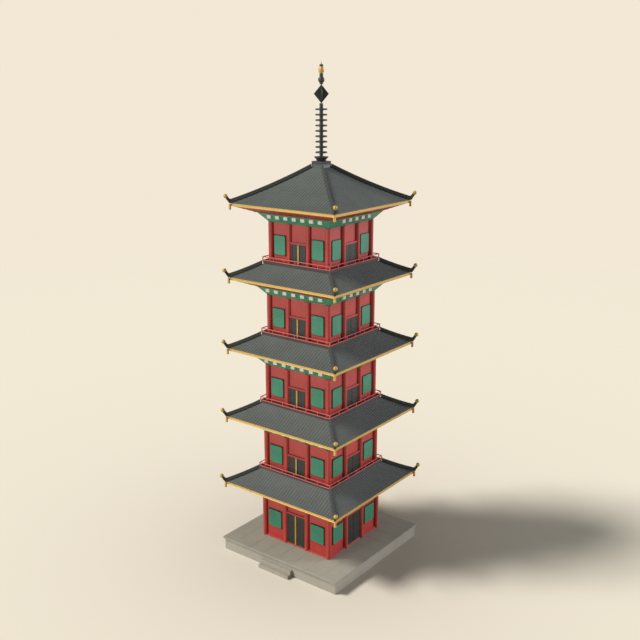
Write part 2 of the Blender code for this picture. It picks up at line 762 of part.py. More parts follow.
def main():
    clear_scene()
    make_collections()
    stone = material("stone", (0.34, 0.31, 0.25), 0.9)
    red = material("vermilion", (0.46, 0.055, 0.035), 0.6)
    green = material("green_paint", (0.07, 0.23, 0.14), 0.6)
    dark = material("dark_timber", (0.035, 0.032, 0.03), 0.6)
    brown = material("balcony_paint", (0.40, 0.05, 0.04), 0.6)
    tile = material("roof_tile", (0.10, 0.11, 0.10), 0.7)
    gold = material("gilding", (0.72, 0.42, 0.12), 0.35, 0.6)
    bronze = material("bronze", (0.06, 0.065, 0.055), 0.5, 0.5)
    make_platform(stone)
    make_steps(stone)
    make_ground_floor(red, green, dark)
    for storey in range(2, STOREYS + 1):
        make_upper_walls(storey, red)
        make_closings(f"storey_{storey}_windows", storey, tuple(SIDES), ("front", "back"), green)
        make_balcony(storey, brown)
    for storey in range(1, STOREYS + 1):
        make_brackets(storey, green)
        make_eaves(storey, red)
        make_roof(storey, tile)
        make_fascia(storey, gold)
    make_spire(bronze, gold)


main()
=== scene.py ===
"""Looks of a five-storey timber pagoda: its visible pieces, finishes, light and camera, in metres."""
from math import cos, pi, radians, sin, sqrt

import bmesh
import bpy
from mathutils import Matrix, Vector


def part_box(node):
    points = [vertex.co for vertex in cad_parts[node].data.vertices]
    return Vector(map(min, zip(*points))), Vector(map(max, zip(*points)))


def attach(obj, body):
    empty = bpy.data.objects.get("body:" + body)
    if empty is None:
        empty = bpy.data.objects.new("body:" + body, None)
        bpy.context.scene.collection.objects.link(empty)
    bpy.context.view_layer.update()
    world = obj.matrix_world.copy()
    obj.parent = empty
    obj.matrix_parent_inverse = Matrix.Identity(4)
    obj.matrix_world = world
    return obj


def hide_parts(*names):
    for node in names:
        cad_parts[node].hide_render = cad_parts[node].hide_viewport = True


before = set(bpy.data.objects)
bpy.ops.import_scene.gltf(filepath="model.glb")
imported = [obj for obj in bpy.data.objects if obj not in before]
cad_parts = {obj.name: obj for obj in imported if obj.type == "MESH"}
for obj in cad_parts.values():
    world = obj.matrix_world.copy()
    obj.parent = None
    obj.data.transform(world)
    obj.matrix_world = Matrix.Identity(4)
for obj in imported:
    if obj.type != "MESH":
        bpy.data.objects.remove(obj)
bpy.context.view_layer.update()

# Offsets that the frame's nodes are built with
GAP = 0.0003
STOREYS = 5
BRACKET_REACH = 0.68
BRACKET_FOOT = 0.107
SOFFIT_DROP = 0.655
SOFFIT_REACH = 0.70
FASCIA_HEIGHT = 0.19
FASCIA_THICKNESS = 0.06
FLOOR_RISE = 1.14
UNDER_BALCONY = 0.10
SHELL_THICKNESS = 0.20
ROOF_INSIDE_WALL = 0.25
EAVE_EDGE = 0.02
LOWER_ROOF_CURVE = (0.44, 0.056)
TOP_ROOF_CURVE = (0.455, 0.034)
APEX_HALF = 0.49
APEX_HOLE = 0.25

# Walls, posts, windows and doors
POST_RADIUS = 0.195
WALL_THICKNESS = 0.16
WALL_RISE = 3.229
WINDOW_WIDTH = 0.385
WINDOW_RISE = 0.972
WINDOW_HEIGHT = 1.337
WINDOW_FRAME = 0.06
FRAME_FRONT = 0.034
PANEL_FRONT = 0.09
PANEL_BORDER = 0.05
BAR_COUNT = 15
BAR_WIDTH = 0.058
DOOR_RISE = 2.491
UPPER_DOOR_RISE = 1.856
SILL_HEIGHT = 0.10
SILL_REACH = 0.10
DOOR_BACK = 0.02
DOOR_THICKNESS = 0.07
DOOR_CLEARANCE = 0.006
DOOR_MIDDLE_GAP = 0.004
DOOR_END_GAP = 0.018
HINGE_INSET = 0.043
STRIP_WIDTH = 0.064
STRIP_DEPTH = 0.04
LINTEL_HEIGHT = 0.12
LINTEL_REACH = 0.11
BOARD_EASING = 0.004

# Sides of the tower, by quarter turns from the front
SIDES = {"front": 0, "right": 1, "back": 2, "left": 3}
STRIP_SIDES = ("front", "back")

# Photograph's view: bearing from the front towards the right side, and downward pitch
VIEW_BEARING = 37.5686
VIEW_PITCH = 15.2896
VIEW_DISTANCE = 64.479
VIEW_TARGET = (-0.072, -0.055, 17.904)
VIEW_LENS = 50.0
VIEW_SENSOR = 36.0


# Solids

def add_box(bm, low, high, turn=Matrix.Identity(4), finish=0):
    low, high = Vector(low), Vector(high)
    size = Matrix.Diagonal((*(high - low), 1.0))
    made = bmesh.ops.create_cube(bm, size=1.0, matrix=turn @ Matrix.Translation((low + high) / 2) @ size)
    for face in {face for vert in made["verts"] for face in vert.link_faces}:
        face.material_index = finish


def add_sweep(bm, loops, closed_ends=True, closed_path=False):
    """Join matching loops of points with faces; the loops are closed sections along a path."""
    rings = [[bm.verts.new(point) for point in loop] for loop in loops]
    count = len(rings[0])
    pairs = list(zip(rings, rings[1:]))
    if closed_path:
        pairs.append((rings[-1], rings[0]))
    for first, second in pairs:
        for i in range(count):
            j = (i + 1) % count
            bm.faces.new((first[i], first[j], second[j], second[i]))
    if closed_ends and not closed_path:
        bm.faces.new(rings[0][::-1])
        bm.faces.new(rings[-1])


def add_square_ring(bm, profile):
    """A closed profile of (half width, height) points swept round four sides with mitred corners."""
    corners = ((-1, -1), (1, -1), (1, 1), (-1, 1))
    loops = [[(x * half, y * half, height) for half, height in profile] for x, y in corners]
    add_sweep(bm, loops, closed_path=True)


def add_turned(bm, profile, segments, place=Matrix.Identity(4)):
    """A profile of (radius, height) points turned about Z; it starts and ends on the axis or closes."""
    solid = profile[0][0] == 0.0 and profile[-1][0] == 0.0
    points = profile[1:-1] if solid else profile
    rings = []
    for i in range(segments):
        angle = 2 * pi * i / segments
        rings.append([bm.verts.new(place @ Vector((r * cos(angle), r * sin(angle), z))) for r, z in points])
    for i in range(segments):
        first, second = rings[i], rings[(i + 1) % segments]
        for j in range(len(points) - 1):
            bm.faces.new((first[j], second[j], second[j + 1], first[j + 1]))
        if not solid:
            bm.faces.new((first[-1], second[-1], second[0], first[0]))
    if solid:
        for end, column in ((profile[0], 0), (profile[-1], -1)):
            pole = bm.verts.new(place @ Vector((0.0, 0.0, end[1])))
            for i in range(segments):
                bm.faces.new((pole, rings[i][column], rings[(i + 1) % segments][column]))


def arc_points(centre, radii, start, end, steps):
    """Points of an elliptic arc in the (radius, height) plane, angles in degrees."""
    turns = [radians(start + (end - start) * i / steps) for i in range(steps + 1)]
    return [(centre[0] + radii[0] * cos(t), centre[1] + radii[1] * sin(t)) for t in turns]


def quarter_turn(side):
    return Matrix.Rotation(radians(90) * SIDES[side], 4, "Z")


def make_piece(name, bm, finishes, body="tower", replaces=(), easing=0.0, smooth=35.0):
    """Turn a bmesh into a piece that rides on a body, with eased edges and its finishes."""
    bmesh.ops.recalc_face_normals(bm, faces=bm.faces)
    mesh = bpy.data.meshes.new(name)
    bm.to_mesh(mesh)
    bm.free()
    for finish in finishes if isinstance(finishes, (list, tuple)) else [finishes]:
        mesh.materials.append(finish)
    piece = bpy.data.objects.new(name, mesh)
    bpy.context.scene.collection.objects.link(piece)
    if easing:
        bevel = piece.modifiers.new("easing", "BEVEL")
        bevel.width = easing
        bevel.segments = 1
        bevel.limit_method = "ANGLE"
        bevel.angle_limit = radians(40)
    if smooth:
        mesh.shade_smooth()
        mesh.set_sharp_from_angle(angle=radians(smooth))
    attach(piece, body)
    if replaces:
        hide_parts(*replaces)
    return piece


# Finishes

def start_material(name, roughness, metallic=0.0):
    made = bpy.data.materials.new(name)
    made.use_nodes = True
    shader = made.node_tree.nodes["Principled BSDF"]
    shader.inputs["Roughness"].default_value = roughness
    shader.inputs["Metallic"].default_value = metallic
    return made, made.node_tree, shader


def noise(tree, size, detail=4.0, stretch=(1.0, 1.0, 1.0)):
    """Noise over the object's own coordinates, with features of a size in metres."""
    place = tree.nodes.new("ShaderNodeTexCoord")
    mapping = tree.nodes.new("ShaderNodeMapping")
    mapping.inputs["Scale"].default_value = tuple(1.0 / (size * s) for s in stretch)
    texture = tree.nodes.new("ShaderNodeTexNoise")
    texture.inputs["Scale"].default_value = 1.0
    texture.inputs["Detail"].default_value = detail
    tree.links.new(place.outputs["Object"], mapping.inputs["Vector"])
    tree.links.new(mapping.outputs["Vector"], texture.inputs["Vector"])
    return texture.outputs["Fac"]


def ramp(tree, factor, stops):
    """Colours by factor: stops are (position, colour)."""
    node = tree.nodes.new("ShaderNodeValToRGB")
    elements = node.color_ramp.elements
    while len(elements) < len(stops):
        elements.new(0.5)
    for element, (position, colour) in zip(elements, stops):
        element.position = position
        element.color = (*colour, 1.0)
    tree.links.new(factor, node.inputs["Fac"])
    return node.outputs["Color"]


def shade(colour, amount):
    return tuple(min(channel * amount, 1.0) for channel in colour)


def blend_colours(tree, factor, first, second, mode="MIX"):
    node = tree.nodes.new("ShaderNodeMix")
    node.data_type = "RGBA"
    node.blend_type = mode
    if isinstance(factor, float):
        node.inputs[0].default_value = factor
    else:
        tree.links.new(factor, node.inputs[0])
    tree.links.new(first, node.inputs[6])
    tree.links.new(second, node.inputs[7])
    return node.outputs[2]


def bump(tree, shader, height, depth, strength=1.0):
    node = tree.nodes.new("ShaderNodeBump")
    node.inputs["Distance"].default_value = depth
    node.inputs["Strength"].default_value = strength
    tree.links.new(height, node.inputs["Height"])
    tree.links.new(node.outputs["Normal"], shader.inputs["Normal"])


def vary_roughness(tree, shader, factor, low, high):
    node = tree.nodes.new("ShaderNodeMapRange")
    node.inputs["To Min"].default_value = low
    node.inputs["To Max"].default_value = high
    tree.links.new(factor, node.inputs["Value"])
    tree.links.new(node.outputs["Result"], shader.inputs["Roughness"])


def painted_timber(name, colour, roughness=0.5, fade=0.10, grain=(1.0, 1.0, 14.0)):
    """Paint over timber: slow fading in patches and a fine grain along the boards."""
    made, tree, shader = start_material(name, roughness)
    patches = ramp(tree, noise(tree, 1.3, 5.0), [(0.3, shade(colour, 1.0 - fade)), (0.7, shade(colour, 1.0 + fade))])
    fibre = noise(tree, 0.012, 6.0, grain)
    streaks = ramp(tree, fibre, [(0.25, (0.86, 0.86, 0.86)), (0.75, (1.0, 1.0, 1.0))])
    tree.links.new(blend_colours(tree, 0.6, patches, streaks, "MULTIPLY"), shader.inputs["Base Color"])
    vary_roughness(tree, shader, fibre, roughness - 0.08, roughness + 0.12)
    bump(tree, shader, fibre, 0.0015, 0.5)
    return made


def stone_finish(name, colour):
    """Dressed granite: fine speckle, slow patches and a pitted surface."""
    made, tree, shader = start_material(name, 0.85)
    patches = ramp(tree, noise(tree, 1.8, 6.0), [(0.3, shade(colour, 0.93)), (0.7, shade(colour, 1.06))])
    grains = noise(tree, 0.018, 3.0)
    speckle = ramp(tree, grains, [(0.3, (0.80, 0.80, 0.80)), (0.5, (0.98, 0.98, 0.98)), (0.72, (1.0, 1.0, 1.0))])
    tree.links.new(blend_colours(tree, 0.7, patches, speckle, "MULTIPLY"), shader.inputs["Base Color"])
    vary_roughness(tree, shader, grains, 0.75, 0.95)
    bump(tree, shader, grains, 0.002, 0.5)
    return made


def tile_finish(name, colour):
    """Fired clay: tile to tile changes of tone, weathering in patches and a fine grit."""
    made, tree, shader = start_material(name, 0.7)
    patches = ramp(tree, noise(tree, 1.6, 6.0), [(0.3, shade(colour, 0.92)), (0.7, shade(colour, 1.08))])
    cells = tree.nodes.new("ShaderNodeTexVoronoi")
    place = tree.nodes.new("ShaderNodeTexCoord")
    cells.inputs["Scale"].default_value = 1.0 / TILE_PITCH
    tree.links.new(place.outputs["Object"], cells.inputs["Vector"])
    tones = ramp(tree, cells.outputs["Color"], [(0.0, (0.90, 0.90, 0.90)), (1.0, (1.0, 1.0, 1.0))])
    tree.links.new(blend_colours(tree, 1.0, patches, tones, "MULTIPLY"), shader.inputs["Base Color"])
    grit = noise(tree, 0.02, 5.0)
    vary_roughness(tree, shader, grit, 0.58, 0.8)
    bump(tree, shader, grit, 0.002, 0.4)
    return made


def metal_finish(name, colour, roughness, metallic, wear=0.15):
    """Cast or beaten metal with a patina in patches and fine hammering."""
    made, tree, shader = start_material(name, roughness, metallic)
    patches = ramp(tree, noise(tree, 0.35, 5.0), [(0.3, shade(colour, 1.0 - wear)), (0.7, shade(colour, 1.0 + wear))])
    tree.links.new(patches, shader.inputs["Base Color"])
    hammering = noise(tree, 0.03, 3.0)
    vary_roughness(tree, shader, hammering, roughness - 0.07, roughness + 0.1)
    bump(tree, shader, hammering, 0.001, 0.4)
    return made


# Roof tiles
TILE_PITCH = 0.25
TILE_COURSE = 0.30
COURSE_STEP = 0.006
ROLL_RADIUS = 0.075
ROLL_RISE = 0.020
ROLL_SIDES = 6
ROLL_STEP = 0.30

# Colours as linear albedo
RED = (0.41, 0.0395, 0.0295)
VIVID_RED = (0.40, 0.027, 0.0185)
# A dark red that paints shade into the grooves beside the posts and onto the window frames
PAINTED_SHADE_RED = (0.14, 0.0075, 0.005)
SOFFIT_RED = (0.37, 0.055, 0.040)
RAIL_RED = (0.46, 0.062, 0.052)
GREEN = (0.040, 0.232, 0.132)
WHITE = (0.56, 0.57, 0.50)
DARK = (0.019, 0.0182, 0.0150)
# Dark brown of the balcony floor: partly the timber's colour, partly painted shade under the lower rails
BALCONY_TIMBER_AND_SHADE = (0.04, 0.033, 0.028)
STONE = (0.302, 0.278, 0.229)
PAVING = (0.262, 0.255, 0.208)
TILE = (0.069, 0.082, 0.077)
# Darker than the tiles: painted shade on the sides of the hip ridges
RIDGE = (0.028, 0.031, 0.028)
GOLD = (0.50, 0.31, 0.07)
OLD_GOLD = (0.42, 0.29, 0.07)
BRONZE = (0.042, 0.046, 0.040)
LEAD = (0.050, 0.054, 0.052)

finishes = {
    "red": painted_timber("vermilion", RED),
    "vivid": painted_timber("vermilion_lower", VIVID_RED),
    "painted_shade": painted_timber("vermilion_painted_shade", PAINTED_SHADE_RED, 0.7),
    "soffit": painted_timber("vermilion_eaves", SOFFIT_RED),
    "rail": painted_timber("vermilion_rail", RAIL_RED, grain=(1.0, 1.0, 1.0)),
    "green": painted_timber("green_paint", GREEN),
    "white": painted_timber("white_paint", WHITE, fade=0.05),
    "dark": painted_timber("dark_timber", DARK, 0.45, 0.15),
    "floor": painted_timber("floor_timber_and_shade", BALCONY_TIMBER_AND_SHADE, 0.7, 0.2, (1.0, 1.0, 1.0)),
    "stone": stone_finish("stone", STONE),
    "paving": stone_finish("paving", PAVING),
    "tile": tile_finish("roof_tile", TILE),
    "ridge": tile_finish("ridge_tile", RIDGE),
    "gold": metal_finish("gilding", GOLD, 0.42, 0.25, 0.06),
    "old_gold": metal_finish("gilding_aged", OLD_GOLD, 0.45, 0.25, 0.08),
    "bronze": metal_finish("bronze", BRONZE, 0.5, 0.4),
    "lead": metal_finish("lead", LEAD, 0.55, 0.2),
}


class Storey:
    """Sizes of one storey, read from the frame."""

    def __init__(self, number):
        self.number = number
        low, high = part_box(f"brackets_{number}")
        self.bracket_bottom, self.bracket_top = low.z, high.z
        self.wall = high.x - BRACKET_REACH
        low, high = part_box(f"eaves_{number}")
        self.edge = high.x + FASCIA_THICKNESS + GAP
        self.eave_top = low.z + SOFFIT_DROP
        self.curve = TOP_ROOF_CURVE if number == STOREYS else LOWER_ROOF_CURVE
        if number == 1:
            self.floor_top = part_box("platform_cap")[1].z
            self.balcony_half = None
        else:
            low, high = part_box(f"storey_{number}_balcony")
            self.balcony_half, self.floor_bottom, self.rail_top = high.x, low.z, high.z
            self.floor_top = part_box(f"storey_{number}_walls")[0].z - GAP
        self.door_bottom = self.floor_top + (SILL_HEIGHT if number == 1 else 0.0)
        self.base = self.bracket_bottom - WALL_RISE
        self.window_bottom = self.base + WINDOW_RISE
        self.window_top = self.window_bottom + WINDOW_HEIGHT
        self.door_top = self.base + (DOOR_RISE if number == 1 else UPPER_DOOR_RISE)

    def roof_z(self, half):
        """Height of the tiles at a half width."""
        slope, bend = self.curve
        inset = self.edge - half
        return self.eave_top + EAVE_EDGE + slope * inset + bend * inset * inset

    @property
    def bay_edge(self):
        return self.wall / 3 - POST_RADIUS


storeys = [Storey(number) for number in range(1, STOREYS + 1)]


# Stone platform
CAP_EASING = 0.008
SLAB_JOINT = 0.003
CAP_SLABS = 8
FACE_BLOCKS = 7


def make_platform():
    low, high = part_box("platform_cap")
    bm = bmesh.new()
    side = (high.x - low.x) / CAP_SLABS
    for i in range(CAP_SLABS):
        for j in range(CAP_SLABS):
            x, y = low.x + side * i, low.y + side * j
            joint = SLAB_JOINT / 2
            add_box(bm, (x + joint * (i > 0), y + joint * (j > 0), low.z),
                    (x + side - joint * (i < CAP_SLABS - 1), y + side - joint * (j < CAP_SLABS - 1), high.z))
    make_piece("platform_slabs", bm, finishes["paving"], replaces=["platform_cap"], easing=CAP_EASING)

    low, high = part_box("platform_base")
    bm = bmesh.new()
    core = 0.30
    add_box(bm, (low.x + core, low.y + core, low.z), (high.x - core, high.y - core, high.z))
    courses = ((0.0, 0.30), (0.30, high.z))
    for side_name in SIDES:
        turn = quarter_turn(side_name)
        for row, (bottom, top) in enumerate(courses):
            count = FACE_BLOCKS + row
            end = high.x if side_name in ("front", "back") else high.x - core
            width = 2 * end / count
            for i in range(count):
                x = -end + width * i
                add_box(bm, (x + SLAB_JOINT / 2 * (i > 0), -high.x, bottom + SLAB_JOINT * (row > 0)),
                        (x + width - SLAB_JOINT / 2 * (i < count - 1), core - high.x - SLAB_JOINT, top), turn)
    make_piece("platform_blocks", bm, finishes["stone"], replaces=["platform_base"], easing=0.004)


def make_steps():
    for name, blocks in (("lower_step", 2), ("upper_step", 3)):
        low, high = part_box(name)
        bm = bmesh.new()
        width = (high.x - low.x) / blocks
        for i in range(blocks):
            add_box(bm, (low.x + width * i + SLAB_JOINT / 2 * (i > 0), low.y, low.z),
                    (low.x + width * (i + 1) - SLAB_JOINT / 2 * (i < blocks - 1), high.y, high.z))
        make_piece(f"{name}_blocks", bm, finishes["stone"], replaces=[name], easing=0.012)


# Walls
WAIST_HEIGHT = 0.05
WAIST_REACH = 0.015
WINDOW_BOARDS = 6
DOOR_BOARDS = 8
POST_SIDES = 40
UPPER_SILL = 0.06
GROOVE = 0.05
GROOVE_DEPTH = 0.04


def add_boards(bm, ends, span, front, back, count, turn, finish):
    """A row of upright boards with eased edges that fills a stretch of wall."""
    width = (ends[1] - ends[0]) / count
    for i in range(count):
        left = ends[0] + width * i
        add_box(bm, (left, front, span[0]), (left + width, back, span[1]), turn, finish)


def add_bay_wall(bm, storey, direction, turn, bottom, top):
    """Boards around one window: below the waist rail in vivid red, above it in red."""
    wall = -storey.wall
    back = wall + WALL_THICKNESS
    inner, outer = storey.wall / 3 + POST_RADIUS + GROOVE, storey.wall - POST_RADIUS - GROOVE
    half = WINDOW_WIDTH * storey.wall / 2 + WINDOW_FRAME
    centre = storey.wall * 2 / 3
    waist = storey.window_bottom - WINDOW_FRAME
    head = storey.window_top + WINDOW_FRAME
    stretches = ((inner, centre - half, 1), (centre - half, centre + half, WINDOW_BOARDS), (centre + half, outer, 1))
    for start, end, count in stretches:
        ends = sorted((direction * start, direction * end))
        add_boards(bm, ends, (bottom, waist), wall, back, count, turn, 1)
        add_boards(bm, ends, (head, top), wall, back, count, turn, 0)
        if count == 1:
            add_boards(bm, ends, (waist, head), wall, back, count, turn, 0)
    ends = sorted((direction * inner, direction * outer))
    add_box(bm, (ends[0], wall - WAIST_REACH, waist - WAIST_HEIGHT), (ends[1], wall + WAIST_REACH, waist), turn, 1)
    # Recessed strips beside each post, in a dark red that paints the shade of the crease
    for start, end in ((storey.wall / 3 + POST_RADIUS / 2, inner), (outer, storey.wall - POST_RADIUS / 2)):
        ends = sorted((direction * start, direction * end))
        add_box(bm, (ends[0], wall + GROOVE_DEPTH, bottom), (ends[1], back, top), turn, 2)


def make_walls(storey, replaces):
    bm = bmesh.new()
    bottom, top = storey.floor_top + GAP, storey.bracket_bottom - GAP
    wall = -storey.wall
    sill = SILL_HEIGHT if storey.number == 1 else UPPER_SILL
    lintel_top = storey.door_top + LINTEL_HEIGHT
    for side in SIDES:
        turn = quarter_turn(side)
        for direction in (-1, 1):
            add_bay_wall(bm, storey, direction, turn, bottom + sill / 2, top)
        half = storey.bay_edge + POST_RADIUS / 2
        add_boards(bm, (-half, half), (lintel_top - 0.01, top), wall, wall + WALL_THICKNESS, DOOR_BOARDS, turn, 0)
        add_box(bm, (-half, wall - LINTEL_REACH, storey.door_top), (half, wall + WALL_THICKNESS, lintel_top), turn, 0)
    make_piece(f"storey_{storey.number}_boards", bm, [finishes[name] for name in ("red", "vivid", "painted_shade")],
               replaces=replaces, easing=BOARD_EASING)

    posts = bmesh.new()
    lines = (wall, wall / 3, -wall / 3, -wall)
    for x in lines:
        for y in lines:
            if storey.wall in (abs(x), abs(y)):
                add_post(posts, x, y, bottom, top)
    make_piece(f"storey_{storey.number}_posts", posts, finishes["red"], replaces=replaces)


def add_post(bm, x, y, bottom, top):
    """A round post with eased ends."""
    ease = 0.012
    profile = [(0.0, bottom), (POST_RADIUS - ease, bottom), (POST_RADIUS, bottom + ease), (POST_RADIUS, top - ease),
               (POST_RADIUS - ease, top), (0.0, top)]
    add_turned(bm, profile, POST_SIDES, Matrix.Translation((x, y, 0.0)))


def make_ground_beams():
    """Sill beam under the ground-floor walls and doors."""
    storey = storeys[0]
    bm = bmesh.new()
    bottom = storey.floor_top + GAP
    ease = 0.012
    inner, outer = storey.wall - WALL_THICKNESS, storey.wall + SILL_REACH
    top = bottom + SILL_HEIGHT
    add_square_ring(bm, [(outer, bottom), (outer, top - ease), (outer - ease, top), (inner, top), (inner, bottom)])
    make_piece("ground_beams", bm, finishes["vivid"], replaces=["ground_frame"])


# Windows

def make_windows(storey, replaces):
    bars, frames = bmesh.new(), bmesh.new()
    wall = -storey.wall
    half = WINDOW_WIDTH * storey.wall / 2
    bottom, top = storey.window_bottom, storey.window_top
    for side in SIDES:
        turn = quarter_turn(side)
        for centre in (wall * 2 / 3, -wall * 2 / 3):
            left, right = centre - half, centre + half
            front = wall - PANEL_FRONT
            add_window_frame(frames, left, right, bottom, top, wall, turn)
            add_box(bars, (left + GAP, front + 0.026, bottom + GAP), (right - GAP, wall, top - GAP), turn)
            for low, high in ((bottom, bottom + PANEL_BORDER), (top - PANEL_BORDER, top)):
                add_box(bars, (left, front, low), (right, wall, high), turn)
            for low, high in ((left, left + PANEL_BORDER), (right - PANEL_BORDER, right)):
                add_box(bars, (low, front, bottom), (high, wall, top), turn)
            pitch = (right - left - 2 * PANEL_BORDER) / BAR_COUNT
            for i in range(BAR_COUNT):
                x = left + PANEL_BORDER + pitch * (i + 0.5)
                add_box(bars, (x - BAR_WIDTH / 2, front + 0.004, bottom), (x + BAR_WIDTH / 2, wall, top), turn)
    number = storey.number
    make_piece(f"storey_{number}_window_bars", bars, finishes["green"], replaces=replaces,
               smooth=0.0)
    make_piece(f"storey_{number}_window_frames", frames, [finishes["painted_shade"], finishes["dark"]], replaces=replaces,
               easing=BOARD_EASING)


def add_window_frame(bm, left, right, bottom, top, wall, turn):
    border = WINDOW_FRAME
    front = wall - FRAME_FRONT
    back = wall + WALL_THICKNESS
    # Sill and jambs in the dark red of painted shade
    add_box(bm, (left - border, front, bottom - border), (right + border, back, bottom), turn)
    # Head in dark timber, painting the shadow line over the panel
    add_box(bm, (left - border, front, top), (right + border, back, top + border), turn, 1)
    add_box(bm, (left - border, front, bottom), (left, back, top), turn)
    add_box(bm, (right, front, bottom), (right + border, back, top), turn)


# Doors
STILE = 0.10
PANEL_INSET = 0.018


def add_door_leaf(bm, left, right, bottom, top, front, back, turn):
    """A framed leaf: stiles, four rails and plank panels set in."""
    add_box(bm, (left + STILE / 2, front + PANEL_INSET, bottom + STILE / 2),
            (right - STILE / 2, back, top - STILE / 2), turn)
    for low, high in ((left, left + STILE), (right - STILE, right)):
        add_box(bm, (low, front, bottom), (high, back, top), turn)
    rails = [bottom, bottom + (top - bottom) * 0.36, bottom + (top - bottom) * 0.66, top - STILE]
    for low in rails:
        add_box(bm, (left + STILE, front + 0.004, low), (right - STILE, back, low + STILE), turn)
    middle = (left + right) / 2
    add_box(bm, (middle - STILE / 4, front + PANEL_INSET - 0.006, bottom + STILE),
            (middle + STILE / 4, back, top - STILE), turn)


def make_fixed_doors(storey, sides, replaces):
    leaves, strips = bmesh.new(), bmesh.new()
    back = -storey.wall - DOOR_BACK
    front = back - DOOR_THICKNESS
    bottom, top = storey.door_bottom + DOOR_CLEARANCE, storey.door_top - DOOR_CLEARANCE
    edge = storey.bay_edge - DOOR_END_GAP
    for side in sides:
        turn = quarter_turn(side)
        for left, right in ((-edge, -DOOR_MIDDLE_GAP), (DOOR_MIDDLE_GAP, edge)):
            add_door_leaf(leaves, left, right, bottom, top, front, back, turn)
            add_box(leaves, (left, back, bottom), (right, -storey.wall + WALL_THICKNESS, top), turn)
        if side in STRIP_SIDES:
            for left, right in ((-STRIP_WIDTH, -DOOR_MIDDLE_GAP / 2), (DOOR_MIDDLE_GAP / 2, STRIP_WIDTH)):
                add_box(strips, (left, front - STRIP_DEPTH, bottom + 0.02), (right, front + 0.01, top - 0.02), turn)
    number = storey.number
    make_piece(f"storey_{number}_doors", leaves, finishes["dark"], replaces=replaces,
               easing=BOARD_EASING)
    make_piece(f"storey_{number}_door_strips", strips, finishes["gold"], replaces=replaces,
               easing=0.008)


def make_moving_doors():
    """The four leaves of the ground floor that turn, each riding on its own body."""
    storey = storeys[0]
    back = -storey.wall - DOOR_BACK
    front = back - DOOR_THICKNESS
    bottom, top = storey.door_bottom + DOOR_CLEARANCE, storey.door_top - DOOR_CLEARANCE
    edge = storey.bay_edge - DOOR_END_GAP
    for body, node, side, direction in (("front_leaf_left", "front_door_left", "front", -1),
                                        ("front_leaf_right", "front_door_right", "front", 1),
                                        ("side_leaf_front", "right_door_front", "right", -1),
                                        ("side_leaf_back", "right_door_back", "right", 1)):
        turn = quarter_turn(side)
        left, right = sorted((direction * DOOR_MIDDLE_GAP, direction * edge))
        bm = bmesh.new()
        add_door_leaf(bm, left, right, bottom, top, front, back, turn)
        make_piece(f"{node}_leaf", bm, finishes["dark"], body, [node], BOARD_EASING)
        if side in STRIP_SIDES:
            bm = bmesh.new()
            left, right = sorted((direction * DOOR_MIDDLE_GAP, direction * STRIP_WIDTH))
            add_box(bm, (left, front - STRIP_DEPTH, bottom + 0.02), (right, front + 0.01, top - 0.02), turn)
            make_piece(f"{node}_strip", bm, finishes["gold"], body, [node], 0.008)


# Balconies
RAIL_SIZE = 0.065
RAIL_POST_SIZE = 0.055
RAIL_BAYS = 6
TOP_RAIL_RISE = 1.456
LOWER_RAIL_RISE = 1.21
PLANK = 0.16
PLANK_THICKNESS = 0.03
FLOOR_INSET = 0.02


def chamfered(half, size, top, ease=0.018):
    """Section of a square rail, its outer face at a half width and its top at a height."""
    inner, bottom = half - size, top - size
    return [(half, bottom + ease), (half, top - ease), (half - ease, top), (inner + ease, top), (inner, top - ease),
            (inner, bottom + ease), (inner + ease, bottom), (half - ease, bottom)]


def make_balcony(storey, below):
    number = storey.number
    half = storey.balcony_half
    base = below.eave_top
    bm = bmesh.new()
    for rise in (TOP_RAIL_RISE, LOWER_RAIL_RISE):
        add_square_ring(bm, chamfered(half, RAIL_SIZE, base + rise))
    centre = half - RAIL_SIZE / 2
    steps = [centre * (2 * i / RAIL_BAYS - 1) for i in range(RAIL_BAYS + 1)]
    reach = RAIL_POST_SIZE / 2
    for x in steps:
        for y in steps:
            if centre in (abs(x), abs(y)):
                add_box(bm, (x - reach, y - reach, storey.floor_top - 0.01),
                        (x + reach, y + reach, base + TOP_RAIL_RISE - 0.02))
    make_piece(f"storey_{number}_railing", bm, finishes["rail"],
               replaces=[f"storey_{number}_balcony"])

    bm = bmesh.new()
    edge = half - FLOOR_INSET
    top = storey.floor_top - PLANK_THICKNESS
    ease = 0.01
    add_box(bm, (-edge + ease, -edge + ease, storey.floor_bottom), (edge - ease, edge - ease, top))
    inner = storey.wall - WALL_THICKNESS
    for side in SIDES:
        turn = quarter_turn(side)
        reach = edge if side in ("front", "back") else inner
        count = round(2 * reach / PLANK)
        width = 2 * reach / count
        for i in range(count):
            x = -reach + width * i
            add_box(bm, (x, -edge, top - 0.005), (x + width, -inner, storey.floor_top), turn)
    make_piece(f"storey_{number}_floor", bm, finishes["floor"],
               replaces=[f"storey_{number}_balcony"], easing=BOARD_EASING)


# Brackets
BLOCK_FRONT = 0.572
BLOCK_DEPTH = 0.20
BLOCK_WIDTH = 0.34
BLOCK_HEIGHT = 0.235
BLOCK_RISE = 0.414
BLOCK_PITCH = 0.296
BLOCKS = {"front": 7, "right": 5, "back": 7, "left": 5}


def make_brackets(storey):
    number = storey.number
    wall = storey.wall
    bottom, top = storey.bracket_bottom, storey.bracket_top
    inner = wall - WALL_THICKNESS
    flare, blocks = bmesh.new(), bmesh.new()
    add_square_ring(flare, [(wall + BRACKET_REACH, top), (wall + BRACKET_FOOT, bottom), (inner, bottom), (inner, top)])
    centre = bottom + BLOCK_RISE
    front = -wall - BLOCK_FRONT
    for side, count in BLOCKS.items():
        turn = quarter_turn(side)
        for i in range(count):
            x = (i - (count - 1) / 2) * BLOCK_PITCH * wall
            add_bearing_block(blocks, x, front, centre, turn)
    make_piece(f"bracket_flare_{number}", flare, finishes["green"],
               replaces=[f"brackets_{number}"], smooth=0.0)
    make_piece(f"bracket_blocks_{number}", blocks, finishes["white"], replaces=[f"brackets_{number}"],
               easing=0.006)


